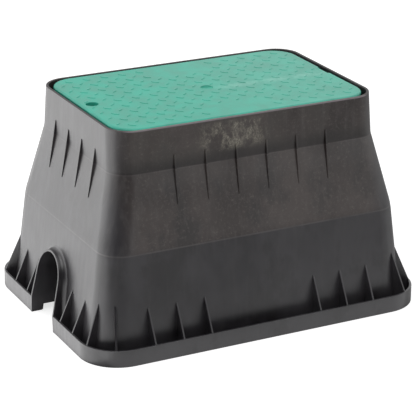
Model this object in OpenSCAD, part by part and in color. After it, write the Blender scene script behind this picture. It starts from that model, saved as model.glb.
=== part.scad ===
/* [Box] */
// Height from the ground to the rim
box_h = 300; // [260:5:360]
// Length of the rim outside
rim_l = 390; // [350:2:440]
// Width of the rim outside
rim_w = 258; // [230:2:300]
// Radius of the rim corners outside
rim_r = 35; // [28:1:44]
// Thickness of the rim round the lid
rim_t = 3.5; // [3:0.25:4.5]
// Thickness of the walls
wall_t = 4; // [3:0.25:5]

/* [Wall profile] */
// Height of the upright collar, from the crease to the rim
collar_h = 57.5; // [52:0.5:70]
// Lean of the collar, out from the rim to the crease
collar_out = 1.8; // [0.5:0.1:4]
// Drop from the rim to the knee, where the slope ends
knee_drop = 158; // [130:1:190]
// Spread of the slope, out from the crease to the knee
slope_out = 23.2; // [14:0.2:34]
// Spread of the lower wall on the long sides, out from the knee to the channel floor
foot_out = 9.2; // [4:0.2:16]
// Spread of the lower wall on the ends, out from the knee to the channel floor
end_foot_out = 16.8; // [4:0.2:20]
// Radius of the wall corners at the crease
crease_r = 31; // [27:1:44]
// Radius of the wall corners at the channel floor
foot_r = 39; // [30:1:50]
// Length of wall on each side that rounds the crease
crease_soft = 3; // [1:0.5:8]
// Length of wall on each side that rounds the knee
knee_soft = 16; // [4:1:30]

/* [Base] */
// Width of the open channel between the wall and the lip on the long sides
channel_w = 17.8; // [12:0.2:24]
// Height of the upstanding lip
lip_h = 23.4; // [16:0.2:30]
// Thickness of the lip
lip_t = 3.5; // [2.5:0.25:5]
// Thickness of the channel floor
floor_t = 3.5; // [2.5:0.25:6]
// Radius of the lip corners outside
lip_r = 56; // [48:1:64]

/* [Gussets] */
// Thickness of every gusset
gusset_t = 2.6; // [2:0.1:4]
// Stand of a crease gusset over the wall at its two tips
gusset_lift = 0.8; // [0.4:0.1:2]
// Reach of a crease gusset above the crease
gusset_up = 19; // [12:1:26]
// Reach of a crease gusset below the crease
gusset_down = 46; // [30:1:60]
// Crease gussets on each long side
side_gussets = 6; // [2:2:8]
// Crease gussets on each end
end_gussets = 4; // [2:2:4]
// Spacing of the crease gussets on the long sides
side_pitch = 45; // [36:1:48]
// Spacing of the crease gussets on the ends
end_pitch = 44; // [36:1:48]
// Height of the base gussets on the wall
base_gusset_h = 67; // [45:1:85]
// Height of the base gussets that stand at the corners
corner_gusset_h = 75; // [45:1:90]
// Base gussets on the long sides, from the middle out to the corner
base_side_at = 82.5; // [60:0.5:86]
// Base gussets on the ends, from the middle out to the corner
base_end_at = 59; // [52:0.5:64]
// Spacing of the base gussets
base_pitch = 41.2; // [36:0.2:44]
// Turn of the corner gussets out of square
corner_turn = 22; // [5:1:35]

/* [Pipe slots] */
// Half width of the slot at the ground
slot_foot = 38; // [30:0.5:42]
// Radius of the arch that tops the slot
slot_r = 34; // [26:0.5:38]
// Height of the slot at its crown
slot_h = 98.5; // [80:0.5:120]
// Thickness of the hood round the slot
hood_t = 3; // [2.5:0.25:5]
// Setback of the hood's face at its crown from its face at the lip
hood_back = 16; // [6:0.5:22]
// Reach of the tunnel inside the end wall
tunnel_in = 18; // [8:1:30]
// Height of the tunnel's lower edge inside the wall
tunnel_lift = 9; // [4:0.5:16]

/* [Lid] */
// Gap between the lid and the rim
lid_gap = 2.3; // [1.5:0.1:4]
// Thickness of the lid's plate
plate_t = 4; // [3:0.25:6]
// Depth of the lid from its top to the foot of its skirt
lid_depth = 41; // [30:1:46]
// Thickness of the lid's skirt
skirt_t = 3.5; // [2.5:0.25:5]
// Radius of the lid's corners
lid_r = 36; // [30:1:44]
// Rounding of the lid's top edge
lid_round = 3; // [1:0.25:4]
// Lean of the lid's skirt, in from its top to its foot
lid_draft = 0.8; // [0.2:0.1:2]
// Stiffening ribs across the lid
lid_ribs_x = 5; // [3:2:7]
// Stiffening ribs along the lid
lid_ribs_y = 3; // [1:2:5]
// Depth of the stiffening ribs under the lid
lid_rib_h = 22; // [10:1:28]
// Thickness of the stiffening ribs under the lid
lid_rib_t = 2.5; // [2:0.25:4]
// Width of the lifting notch at the lid's edge
notch_w = 39; // [28:0.5:44]
// Depth of the lifting notch from the lid's edge
notch_d = 7.5; // [5:0.5:10]
// Slant of the notch's flanks, in from the edge to its back
notch_slant = 6; // [1:0.5:9]
// Width across the gate dimple in the middle
dimple_w = 17; // [8:0.5:24]
// Depth of the gate dimple
dimple_d = 2.2; // [1:0.1:3]
// Clearance between the skirt and the ledge that carries it
seat_gap = 0.3; // [0.2:0.1:1]
// Width of the ledge that carries the lid
ledge_w = 14; // [10:0.5:20]
// Thickness of the ledge
ledge_t = 5; // [3:0.5:8]

/* [Tread] */
// Height of the tread bars
bar_h = 1.2; // [0.6:0.1:2]
// Length of a tread bar
bar_l = 17; // [12:0.5:20]
// Width of a tread bar at its middle
bar_w = 5; // [3:0.25:7]
// Spacing of like bars along the lid
tread_x = 26.7; // [24:0.1:34]
// Spacing of like bars across the lid
tread_y = 25.9; // [24:0.1:34]
// Plain border round the tread
tread_margin = 8; // [6:0.5:20]
// Length of the bare panel at the middle of each long edge
panel_l = 96; // [60:2:160]
// Depth of the bare panel, in from the lid's edge
panel_w = 54; // [30:1:60]

/* [Lock] */
// Distance of the lock bolt from the rim's end
lock_in = 24.5; // [23:0.5:34]
// Width of the bolt's well
well_w = 17; // [16.5:0.25:22]
// Depth of the bolt's well
well_depth = 19; // [16:0.5:24]
// Thickness of the well's wall and floor
well_t = 3; // [2:0.25:4]
// Diameter of the bolt's shank
bolt_w = 8; // [6:0.5:9]
// Length of the bolt under its head
bolt_l = 52; // [44:1:60]
// Width of the bolt's head across its flats
head_w = 13; // [10:0.5:13.5]
// Height of the bolt's head
head_h = 5.3; // [4:0.1:7]
// Width of the washer
washer_w = 15.5; // [14:0.5:16]
// Thickness of the washer
washer_t = 1.6; // [1:0.1:2]
// Width of the retaining ring on the shank
ring_w = 15; // [12:0.5:18]
// Thickness of the retaining ring
ring_t = 1; // [0.8:0.1:1.5]
// Clearance round the bolt
bolt_play = 0.5; // [0.3:0.1:1]
// Clearance of the retaining ring under the well's floor
ring_play = 0.5; // [0.3:0.1:1]
// Room round the retaining ring under the lid
ring_room = 3; // [1:0.5:4]
// Width of the threaded insert across its flats
insert_w = 14; // [12:0.5:16]
// Height of the threaded insert
insert_h = 12; // [8:0.5:14]
// Clearance of the insert in its boss
insert_fit = 0.1; // [0.05:0.05:0.2]
// Clearance of the bolt in the insert
thread_play = 0.3; // [0.2:0.05:0.5]
// Wall of the boss round the insert
boss_t = 4; // [3:0.5:6]

/* [Hidden] */
soft_steps = 4;
corner_steps = 9;
// How far a cut runs past the face it opens, and a joined shape into what carries it
past = 1;
plastic = "#3a393b";
green = "#68b8a4";

// The wall seen in section: how far it stands out from the rim's outline, and its heights
crease_z = box_h - collar_h;
knee_z = box_h - knee_drop;
crease_out = collar_out;
knee_out = crease_out + slope_out;
floor_out = knee_out + foot_out;
end_floor_out = knee_out + end_foot_out;
lip_out = floor_out + channel_w + lip_t;
ledge_z = box_h - lid_depth - seat_gap;
lock_at = rim_l / 2 - lock_in;
lid_l = rim_l - 2 * (rim_t + lid_gap);
lid_w = rim_w - 2 * (rim_t + lid_gap);

// A soft bend at b between the lines from a and to c, reaching len along each
function toward(b, a, len) = b + len * (a - b) / norm(a - b);
function bend(a, b, c, len) = [for (i = [0:soft_steps])
    let (t = i / soft_steps, p = toward(b, a, len), q = toward(b, c, len))
    (1 - t) * (1 - t) * p + 2 * t * (1 - t) * b + t * t * q];
function wall_line() = concat(
    [[floor_out, floor_t]],
    bend([floor_out, floor_t], [knee_out, knee_z], [crease_out, crease_z], knee_soft),
    bend([knee_out, knee_z], [crease_out, crease_z], [0, box_h], crease_soft));

// How far the wall stands out at a height, and the radius of its corners there
function wall_out(z, foot = foot_out) = z > crease_z ? crease_out * (box_h - z) / collar_h
    : z > knee_z ? crease_out + slope_out * (crease_z - z) / (crease_z - knee_z)
    : knee_out + foot * (knee_z - z) / (knee_z - floor_t);
function wall_r(z) = z > crease_z ? rim_r + (crease_r - rim_r) * (box_h - z) / collar_h
    : crease_r + (foot_r - crease_r) * (crease_z - z) / crease_z;

// Below the knee the ends spread further than the long sides
function end_more(z) = max(0, end_foot_out - foot_out) * max(0, knee_z - z) / (knee_z - floor_t);

// A row of a loft: how far its ends and its sides stand out from the rim, its height and corner radius
function even(out, z, r) = [out, out, z, r];
function outside(p) = [p[0] + end_more(p[1]), p[0], p[1], wall_r(p[1])];
function inside(p) = [p[0] + end_more(p[1]) - wall_t, p[0] - wall_t, p[1], wall_r(p[1]) - wall_t];
function turned_round(list) = [for (i = [len(list) - 1:-1:0]) list[i]];
function ring(half_l, half_w, r, z) = [for (c = [0:3], i = [0:corner_steps])
    let (a = 90 * (c + i / corner_steps), sx = c == 0 || c == 3 ? 1 : -1, sy = c < 2 ? 1 : -1)
    [sx * (half_l - r) + r * cos(a), sy * (half_w - r) + r * sin(a), z]];

// Faces between two rings of n points each
function band(a, b, n) = [for (j = [0:n - 1], k = [0, 1])
    let (m = (j + 1) % n)
    k == 0 ? [a * n + j, b * n + j, b * n + m] : [a * n + j, b * n + m, a * n + m]];

// A shell whose section is a closed line of rows, swept round the box
module swept_shell(rows) {
    n = 4 * (corner_steps + 1);
    points = [for (r = rows) each ring(rim_l / 2 + r[0], rim_w / 2 + r[1], r[3], r[2])];
    faces = [for (i = [0:len(rows) - 1]) each band(i, (i + 1) % len(rows), n)];
    polyhedron(points, faces, convexity = 8);
}

// A closed block whose rows rise from its foot to its top
module lofted_block(rows) {
    n = 4 * (corner_steps + 1);
    last = len(rows) - 1;
    points = [for (r = rows) each ring(rim_l / 2 + r[0], rim_w / 2 + r[1], r[3], r[2])];
    sides = [for (i = [0:last - 1]) each band(i, i + 1, n)];
    foot = [for (j = [0:n - 1]) j];
    top = [for (j = [n - 1:-1:0]) last * n + j];
    polyhedron(points, concat(sides, [foot, top]), convexity = 4);
}

module body_shell() {
    line = wall_line();
    swept_shell(concat(
        [even(lip_out, 0, lip_r), even(lip_out, lip_h, lip_r)],
        [for (z = [lip_h, floor_t]) even(lip_out - lip_t, z, lip_r - lip_t)],
        [for (p = line) outside(p)],
        [even(0, box_h, rim_r)],
        [for (z = [box_h, ledge_z]) even(-rim_t, z, rim_r - rim_t)],
        [for (z = [ledge_z, ledge_z - ledge_t]) even(-rim_t - ledge_w, z, rim_r - rim_t - ledge_w)],
        [inside([wall_out(ledge_z - ledge_t), ledge_z - ledge_t])],
        [for (p = turned_round(line)) inside(p)],
        [inside([floor_out, 0])]));
}

// A thin upright plate in the plane of X and Z
module plate(points) {
    rotate([90, 0, 0])
    linear_extrude(gusset_t, center = true)
    polygon(points);
}

// A gusset over the crease of a wall that lies half_size from the middle
module crease_gusset(half_size) {
    top_z = crease_z + gusset_up;
    foot_z = crease_z - gusset_down;
    buried = wall_t / 2;
    plate([[half_size + wall_out(top_z) + gusset_lift, top_z],
        [half_size + wall_out(foot_z) + gusset_lift, foot_z],
        [half_size + wall_out(foot_z) - buried, foot_z],
        [half_size + crease_out - buried, crease_z],
        [half_size + wall_out(top_z) - buried, top_z]]);
}

// A gusset from the wall down to the top of the lip: the wall at its tip and at its foot, and the lip
module base_gusset(tip_at, tip_z, foot_at, lip_at) {
    reach = lip_at - lip_t / 2;
    buried = wall_t / 2;
    plate([[tip_at + gusset_lift / 2, tip_z],
        [reach, lip_h],
        [reach, floor_t / 2],
        [foot_at - buried, floor_t / 2],
        [tip_at - buried, tip_z]]);
}

module wall_gusset(half_size, foot) {
    base_gusset(half_size + wall_out(base_gusset_h, foot), base_gusset_h, half_size + knee_out + foot,
        half_size + lip_out);
}

// Everything on one long side or one end is repeated on the side across
module both_sides(turn) {
    for (side = [0, 180]) rotate([0, 0, turn + side]) children();
}

module gussets() {
    both_sides(90) {
        for (i = [0:side_gussets - 1])
            translate([0, (i - (side_gussets - 1) / 2) * side_pitch, 0]) crease_gusset(rim_w / 2);
        for (side = [-1, 1], i = [0:2])
            translate([0, side * (base_side_at + i * base_pitch), 0]) wall_gusset(rim_w / 2, foot_out);
    }
    both_sides(0) {
        for (i = [0:end_gussets - 1])
            translate([0, (i - (end_gussets - 1) / 2) * end_pitch, 0]) crease_gusset(rim_l / 2);
        for (side = [-1, 1], i = [0:1])
            translate([0, side * (base_end_at + i * base_pitch), 0]) wall_gusset(rim_l / 2, end_foot_out);
    }
}

// Reach of a rounded outline in direction a, from the centre of the wall's corner at the channel floor
function corner_reach(row, a) = row[3] + (row[0] - row[3] - end_floor_out + foot_r) * cos(a)
    + (row[1] - row[3] - floor_out + foot_r) * sin(a);

// Gussets that stand in the corners, each turned about the centre of its corner
module corner_gussets() {
    tip_z = corner_gusset_h;
    for (sx = [-1, 1], sy = [-1, 1], a = [corner_turn, 90 - corner_turn]) {
        mirror([sx < 0 ? 1 : 0, 0, 0]) mirror([0, sy < 0 ? 1 : 0, 0])
        translate([rim_l / 2 + end_floor_out - foot_r, rim_w / 2 + floor_out - foot_r, 0])
        rotate([0, 0, a])
        base_gusset(corner_reach(outside([wall_out(tip_z), tip_z]), a), tip_z, foot_r,
            corner_reach(even(lip_out, 0, lip_r), a));
    }
}

// The outline of the slot, grown all round: drafted sides under a round arch
module slot_outline(grow) {
    arch_z = slot_h - slot_r;
    foot_z = grow > 0 ? 0 : -past;
    polygon([[-slot_foot - grow, foot_z], [slot_foot + grow, foot_z],
        [slot_r + grow, arch_z], [-slot_r - grow, arch_z]]);
    translate([0, arch_z]) circle(slot_r + grow, $fn = 64);
}

module along_x(from, to) {
    translate([from, 0, 0]) rotate([90, 0, 90]) linear_extrude(to - from) children();
}

// The hood stands out from the end wall to the lip and leans back towards its crown
module hood() {
    face_x = rim_l / 2 + lip_out;
    inner_x = rim_l / 2 + knee_out - wall_t - tunnel_in;
    wall_x = rim_l / 2 + end_floor_out;
    over_z = slot_h + hood_t + past;
    intersection() {
        along_x(inner_x, face_x) slot_outline(hood_t);
        rotate([90, 0, 0]) linear_extrude(4 * slot_foot, center = true)
            polygon([[face_x, 0], [face_x, lip_h], [face_x - hood_back, slot_h],
                [face_x - hood_back, over_z], [inner_x, over_z], [inner_x, tunnel_lift],
                [wall_x, tunnel_lift], [wall_x, 0]]);
    }
}

module slot_cut() {
    inner_x = rim_l / 2 + knee_out - wall_t - tunnel_in;
    along_x(inner_x - past, rim_l / 2 + lip_out + past) slot_outline(0);
}

// The boss under the ledge that holds the threaded insert
module lock_boss() {
    boss_r = insert_w / sqrt(3) + boss_t;
    tall = insert_h + ledge_t;
    translate([-lock_at, 0, ledge_z - tall]) {
        cylinder(h = tall, r = boss_r, $fn = 64);
        translate([-lock_in, -boss_r, 0]) cube([lock_in, 2 * boss_r, tall]);
    }
}

module insert_shape(grow, tall) {
    cylinder(h = tall, r = insert_w / sqrt(3) + grow, $fn = 6);
}

module box_body() {
    color(plastic)
    difference() {
        union() {
            body_shell();
            gussets();
            corner_gussets();
            both_sides(0) hood();
            lock_boss();
        }
        both_sides(0) slot_cut();
        translate([-lock_at, 0, ledge_z - insert_h]) insert_shape(insert_fit, insert_h + past);
        translate([-lock_at, 0, 0]) cylinder(h = ledge_z, r = bolt_w / 2 + 2 * bolt_play, $fn = 48);
    }
}

// A row of the lid's loft, in from the lid's own outline
function lid_row(in, z) = even(-rim_t - lid_gap - in, z, lid_r - in);

module lid_shell() {
    foot_z = box_h - lid_depth;
    difference() {
        lofted_block(concat([lid_row(lid_draft, foot_z)], [for (a = [0:30:90])
            lid_row(lid_round * (1 - cos(a)), box_h - lid_round * (1 - sin(a)))]));
        lofted_block([lid_row(skirt_t + lid_draft, foot_z - past), lid_row(skirt_t, box_h - plate_t)]);
    }
}

module notch_outline(grow) {
    edge = lid_l / 2;
    back = edge - notch_d - grow;
    half = notch_w / 2 + grow;
    polygon([[back, notch_slant - half], [back, half - notch_slant], [edge, half], [edge + rim_t, half],
        [edge + rim_t, -half], [edge, -half]]);
}

module lid_ribs() {
    long = lid_l - skirt_t;
    wide = lid_w - skirt_t;
    translate([0, 0, box_h - plate_t - lid_rib_h]) {
        for (i = [1:lid_ribs_x])
            translate([(i / (lid_ribs_x + 1) - 0.5) * lid_l - lid_rib_t / 2, -wide / 2, 0])
                cube([lid_rib_t, wide, lid_rib_h + past]);
        for (i = [1:lid_ribs_y])
            translate([-long / 2, (i / (lid_ribs_y + 1) - 0.5) * lid_w - lid_rib_t / 2, 0])
                cube([long, lid_rib_t, lid_rib_h + past]);
    }
}

// One tread bar, pointed at both ends between two arcs
module tread_bar() {
    r = (bar_l * bar_l / 4 + bar_w * bar_w / 4) / bar_w;
    intersection() {
        translate([0, r - bar_w / 2]) circle(r, $fn = 96);
        translate([0, bar_w / 2 - r]) circle(r, $fn = 96);
    }
}

// True where a bar of the tread stands clear of the edge, the panels, the well, the dimple and the notch
function bar_fits(x, y) =
    let (reach = bar_l * cos(45) / 2, half_l = lid_l / 2 - tread_margin, half_w = lid_w / 2 - tread_margin,
        in_x = abs(x) - half_l + lid_r - tread_margin, in_y = abs(y) - half_w + lid_r - tread_margin)
    abs(x) + reach < half_l && abs(y) + reach < half_w
    && (in_x < 0 || in_y < 0 || norm([in_x, in_y]) + bar_w / 2 < lid_r - tread_margin)
    && !(abs(x) < panel_l / 2 && abs(y) > lid_w / 2 - panel_w)
    && norm([x, y]) > dimple_w / 2 + reach
    && norm([x + lock_at, y]) > well_w / 2 + bar_w
    && !(x + reach > lid_l / 2 - notch_d - past && abs(y) < notch_w / 2);

// Bars lie at 45 degrees, and every second one leans the other way
module tread() {
    count_x = ceil(lid_l / tread_x / 2);
    count_y = ceil(lid_w / tread_y / 2);
    for (odd = [0, 1], i = [-count_x:count_x], j = [-count_y:count_y]) {
        x = (i + odd / 2) * tread_x;
        y = (j + odd / 2) * tread_y;
        if (bar_fits(x, y)) translate([x, y]) rotate(odd == 0 ? -45 : 45) tread_bar();
    }
}

module lid() {
    well_r = well_w / 2;
    foot_z = box_h - lid_depth;
    color(green)
    difference() {
        union() {
            lid_shell();
            intersection() {
                union() {
                    lid_ribs();
                    translate([0, 0, foot_z]) linear_extrude(lid_depth - past) notch_outline(skirt_t);
                }
                lofted_block([lid_row(lid_draft + past, foot_z), lid_row(past, box_h - past)]);
            }
            translate([-lock_at, 0, box_h - well_depth - well_t])
                cylinder(h = well_depth + well_t - past, r = well_r + well_t, $fn = 64);
            translate([0, 0, box_h - past]) linear_extrude(past + bar_h) tread();
        }
        translate([-lock_at, 0, box_h - well_depth]) cylinder(h = well_depth + past, r = well_r, $fn = 64);
        translate([-lock_at, 0, foot_z]) {
            cylinder(h = lid_depth, r = bolt_w / 2 + bolt_play, $fn = 48);
            cylinder(h = lid_depth - well_depth - well_t, r = ring_w / 2 + ring_room, $fn = 64);
        }
        translate([0, 0, foot_z - past]) linear_extrude(lid_depth + bar_h + 2 * past) notch_outline(0);
        dimple_r = (dimple_w * dimple_w / 4 + dimple_d * dimple_d) / (2 * dimple_d);
        translate([0, 0, box_h + dimple_r - dimple_d]) sphere(dimple_r, $fn = 96);
    }
}

washer_z = box_h - well_depth;
head_z = washer_z + washer_t;

module lock_bolt() {
    color("silver")
    translate([-lock_at, 0, head_z]) {
        cylinder(h = head_h, r = head_w / sqrt(3), $fn = 6);
        translate([0, 0, -bolt_l]) cylinder(h = bolt_l + past, r = bolt_w / 2, $fn = 48);
    }
}

module bolt_washer() {
    color("silver")
    translate([-lock_at, 0, washer_z])
    difference() {
        cylinder(h = washer_t, r = washer_w / 2, $fn = 64);
        translate([0, 0, -past]) cylinder(h = washer_t + 2 * past, r = bolt_w / 2 + bolt_play, $fn = 48);
    }
}

module retaining_ring() {
    color("dimgray")
    translate([-lock_at, 0, box_h - well_depth - well_t - ring_play - ring_t])
    difference() {
        cylinder(h = ring_t, r = ring_w / 2, $fn = 64);
        translate([0, 0, -past]) cylinder(h = ring_t + 2 * past, r = bolt_w / 2, $fn = 48);
    }
}

module threaded_insert() {
    color("goldenrod")
    translate([-lock_at, 0, ledge_z - insert_h])
    difference() {
        insert_shape(0, insert_h);
        translate([0, 0, -past]) cylinder(h = insert_h + 2 * past, r = bolt_w / 2 + thread_play, $fn = 48);
    }
}

box_body();
lid();
lock_bolt();
bolt_washer();
retaining_ring();
threaded_insert();
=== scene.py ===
# %% [markdown]
# # An irrigation valve box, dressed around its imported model
# The box stands in the ground round a valve: a dark polyethylene moulding, open below, with a green
# tread lid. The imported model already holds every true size. This lesson keeps it as a fixed frame,
# models a finer body, lid and lock over it, and gives each one a finish made of nodes.

# %% Load the frame
import math

import bmesh
import bpy
from mathutils import Matrix, Vector


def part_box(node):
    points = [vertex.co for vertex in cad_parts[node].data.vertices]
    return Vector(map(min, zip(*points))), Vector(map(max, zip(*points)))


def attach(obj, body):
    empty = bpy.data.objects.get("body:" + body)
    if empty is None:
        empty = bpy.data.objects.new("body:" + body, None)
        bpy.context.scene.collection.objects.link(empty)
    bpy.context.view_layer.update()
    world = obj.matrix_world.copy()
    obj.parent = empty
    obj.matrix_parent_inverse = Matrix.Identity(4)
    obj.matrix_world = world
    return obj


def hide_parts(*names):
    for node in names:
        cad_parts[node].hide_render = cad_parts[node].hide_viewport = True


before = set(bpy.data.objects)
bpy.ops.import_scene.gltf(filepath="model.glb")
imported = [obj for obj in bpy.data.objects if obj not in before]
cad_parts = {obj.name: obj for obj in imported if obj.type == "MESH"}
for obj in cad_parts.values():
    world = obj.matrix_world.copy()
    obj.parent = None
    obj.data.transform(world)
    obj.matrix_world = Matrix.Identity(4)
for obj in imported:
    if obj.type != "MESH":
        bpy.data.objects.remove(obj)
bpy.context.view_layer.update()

# %% [markdown]
# ## The driving sizes
# A moulding is easiest to rebuild from the few sizes that shaped it. The frame gives the outlines and
# heights of all six pieces. What it can't tell, such as the wall's section, is named here in metres.
# Everything below is worked out from these values.

# %% Name the sizes
MM = 0.001
lip_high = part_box("box_body")[1]
lid_low, lid_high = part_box("lid")
bolt_low, bolt_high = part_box("lock_bolt")
washer_low, washer_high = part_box("bolt_washer")
ring_low, ring_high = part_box("retaining_ring")
insert_low, insert_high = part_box("threaded_insert")

BOX_H = 300 * MM
RIM_L, RIM_W, RIM_R, RIM_T = 390 * MM, 258 * MM, 35 * MM, 3.5 * MM
WALL_T = 4 * MM
CREASE_Z, KNEE_Z = BOX_H - 57.5 * MM, BOX_H - 158 * MM
CREASE_OUT = 1.8 * MM
KNEE_OUT = CREASE_OUT + 23.2 * MM
SIDE_FOOT, END_FOOT = KNEE_OUT + 9.2 * MM, KNEE_OUT + 16.8 * MM
CREASE_R, FOOT_R = 31 * MM, 39 * MM
LIP_OUT = lip_high.x - RIM_L / 2
LIP_H, LIP_T, LIP_R, FLOOR_T = 23.4 * MM, 3.5 * MM, 56 * MM, 3.5 * MM
LEDGE_Z, LEDGE_W, LEDGE_T = BOX_H - 41.3 * MM, 14 * MM, 5 * MM
EDGE = 0.8 * MM
CORNER_STEPS = 14
print("height", BOX_H, "lip stands out", round(LIP_OUT, 4))

# %% [markdown]
# ## Rows that sweep a section round the box
# Each wall of the box follows the same rounded rectangle, only wider or narrower. By hand, this is a
# plane whose corners are beveled, and whose outline is then extruded again and again. A plain scale
# would stretch the round corners into ovals, so each quarter of a new row is moved outwards, and only
# its corner is scaled, about the corner's own centre.

# %% Extrude a ring row by row
QUARTERS = [(1, 1), (-1, 1), (-1, -1), (1, -1)]


def deselect():
    bpy.ops.object.select_all(action="DESELECT")


def work_on(ob, mode="OBJECT"):
    """Makes ob the only selected object, in the given mode."""
    deselect()
    ob.select_set(True)
    bpy.context.view_layer.objects.active = ob
    bpy.ops.object.mode_set(mode=mode)


def select_verts(ob, test):
    """Selects, in edit mode, the vertices of ob whose place passes the test."""
    bm = bmesh.from_edit_mesh(ob.data)
    for v in bm.verts:
        v.select = test(v.co)
    bm.select_flush_mode()
    bmesh.update_edit_mesh(ob.data)


def select_edges(ob, test):
    """Selects, in edit mode, the edges of ob that pass the test."""
    bpy.ops.mesh.select_mode(type="EDGE")
    bpy.ops.mesh.select_all(action="DESELECT")
    bm = bmesh.from_edit_mesh(ob.data)
    for e in bm.edges:
        e.select = test(e)
    bmesh.update_edit_mesh(ob.data)


def finish_solid():
    """Merges doubles, points every face outwards and leaves edit mode."""
    bpy.ops.mesh.select_mode(type="VERT")
    bpy.ops.mesh.select_all(action="SELECT")
    bpy.ops.mesh.remove_doubles(threshold=1e-6)
    bpy.ops.mesh.normals_make_consistent(inside=False)
    bpy.ops.object.mode_set(mode="OBJECT")


def start_ring(name, row):
    """A flat rounded rectangle, left in edit mode with only its outline."""
    end, side, z, radius = row
    deselect()
    bpy.ops.mesh.primitive_plane_add(size=1, location=(0, 0, 0))
    ob = bpy.context.object
    ob.name = name
    bpy.ops.object.mode_set(mode="EDIT")
    bpy.ops.mesh.select_mode(type="VERT")
    bpy.ops.mesh.select_all(action="SELECT")
    bpy.ops.transform.resize(value=(RIM_L + 2 * end, RIM_W + 2 * side, 1))
    bpy.ops.transform.translate(value=(0, 0, z))
    bpy.ops.mesh.bevel(offset=radius, segments=CORNER_STEPS, affect="VERTICES", offset_type="OFFSET")
    bpy.ops.mesh.delete(type="ONLY_FACE")
    bpy.ops.mesh.select_all(action="SELECT")
    return ob


def next_row(ob, last, row):
    """Extrudes the selected outline from the last row to this one."""
    end, side, z, radius = row
    bpy.ops.mesh.extrude_edges_move(TRANSFORM_OT_translate={"value": (0, 0, z - last[2])})
    bm = bmesh.from_edit_mesh(ob.data)
    ring = [v.index for v in bm.verts if v.select]
    move_x = (end - radius) - (last[0] - last[3])
    move_y = (side - radius) - (last[1] - last[3])
    for sx, sy in QUARTERS:
        bm = bmesh.from_edit_mesh(ob.data)
        bm.verts.ensure_lookup_table()
        for v in bm.verts:
            v.select = False
        for i in ring:
            v = bm.verts[i]
            v.select = v.co.x * sx > 0 and v.co.y * sy > 0
        bm.select_flush_mode()
        bmesh.update_edit_mesh(ob.data)
        if max(abs(move_x), abs(move_y)) > 1e-9:
            bpy.ops.transform.translate(value=(sx * move_x, sy * move_y, 0))
        if abs(radius - last[3]) > 1e-9:
            centre = (sx * (RIM_L / 2 + end - radius), sy * (RIM_W / 2 + side - radius), z)
            grow = radius / last[3]
            bpy.ops.transform.resize(value=(grow, grow, 1), center_override=centre)
    bm = bmesh.from_edit_mesh(ob.data)
    bm.verts.ensure_lookup_table()
    for i in ring:
        bm.verts[i].select = True
    bm.select_flush_mode()
    bmesh.update_edit_mesh(ob.data)


def sweep(name, rows, closed):
    """Sweeps rows of (end, side, z, corner radius) round the box: a closed section, or a capped block."""
    ob = start_ring(name, rows[0])
    if not closed:
        bpy.ops.mesh.edge_face_add()
        bpy.ops.mesh.select_all(action="SELECT")
    for last, row in zip(rows, rows[1:]):
        next_row(ob, last, row)
    if closed:
        select_edges(ob, lambda e: e.is_boundary)
        bpy.ops.mesh.bridge_edge_loops()
    else:
        bpy.ops.mesh.edge_face_add()
    finish_solid()
    return ob


# %% [markdown]
# ## Blocks, booleans and copies
# Gussets, hoods, ribs and tread bars are modelled once from a cube or a cylinder, copied, and joined
# by a Boolean modifier, so that each moulding ends as one closed skin with nothing buried in it. The
# shading is smoothed by angle, and a Weighted Normal modifier lets the large flat walls keep their
# true direction right up to the round corners.

# %% Helpers for solids
def block(name, low, high):
    """A cube between two corners, left in edit mode."""
    deselect()
    bpy.ops.mesh.primitive_cube_add(size=1, location=(0, 0, 0))
    ob = bpy.context.object
    ob.name = name
    bpy.ops.object.mode_set(mode="EDIT")
    bpy.ops.mesh.select_mode(type="VERT")
    bpy.ops.transform.resize(value=tuple(h - l for l, h in zip(low, high)))
    bpy.ops.transform.translate(value=tuple((h + l) / 2 for l, h in zip(low, high)))
    return ob


def plain_block(name, low, high):
    ob = block(name, low, high)
    finish_solid()
    return ob


def tube(name, radius, low, high, x=0.0, y=0.0, sides=64):
    """An upright cylinder from low to high."""
    deselect()
    bpy.ops.mesh.primitive_cylinder_add(vertices=sides, radius=radius, depth=high - low,
                                        location=(x, y, (low + high) / 2))
    ob = bpy.context.object
    ob.name = name
    bpy.ops.object.transform_apply(location=True, rotation=True, scale=True)
    return ob


def move_verts(ob, test, shift):
    select_verts(ob, test)
    bpy.ops.transform.translate(value=shift)


def bevel_edges(ob, test, width, segments=2):
    """Bevels, in edit mode, the edges whose two ends pass the test."""
    select_edges(ob, lambda e: test(e.verts[0].co, e.verts[1].co))
    bpy.ops.mesh.bevel(offset=width, segments=segments, affect="EDGES")
    bpy.ops.mesh.select_mode(type="VERT")


def boolean(ob, other, operation):
    """Joins other to ob, cuts it away or keeps what both share, and removes other."""
    mod = ob.modifiers.new(operation.lower(), "BOOLEAN")
    mod.object = other
    mod.operation = operation
    mod.solver = "EXACT"
    work_on(ob)
    bpy.ops.object.modifier_apply(modifier=mod.name)
    bpy.data.objects.remove(other)


def turned_copies(model, places):
    """Copies of model, each turned about Z and moved, joined into one object."""
    copies = []
    for x, y, turn in places:
        copy = model.copy()
        copy.data = model.data.copy()
        bpy.context.scene.collection.objects.link(copy)
        copy.rotation_euler = (0, 0, turn)
        copy.location = (x, y, 0)
        copies.append(copy)
    bpy.data.objects.remove(model)
    deselect()
    for copy in copies:
        copy.select_set(True)
    bpy.context.view_layer.objects.active = copies[0]
    bpy.ops.object.transform_apply(location=True, rotation=True, scale=True)
    if len(copies) > 1:
        bpy.ops.object.join()
    return bpy.context.object


def smooth(ob, angle=32):
    work_on(ob)
    bpy.ops.object.shade_smooth_by_angle(angle=math.radians(angle))
    mod = ob.modifiers.new("weighted", "WEIGHTED_NORMAL")
    mod.keep_sharp = True
    mod.weight = 80
    bpy.ops.object.modifier_apply(modifier=mod.name)


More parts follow.
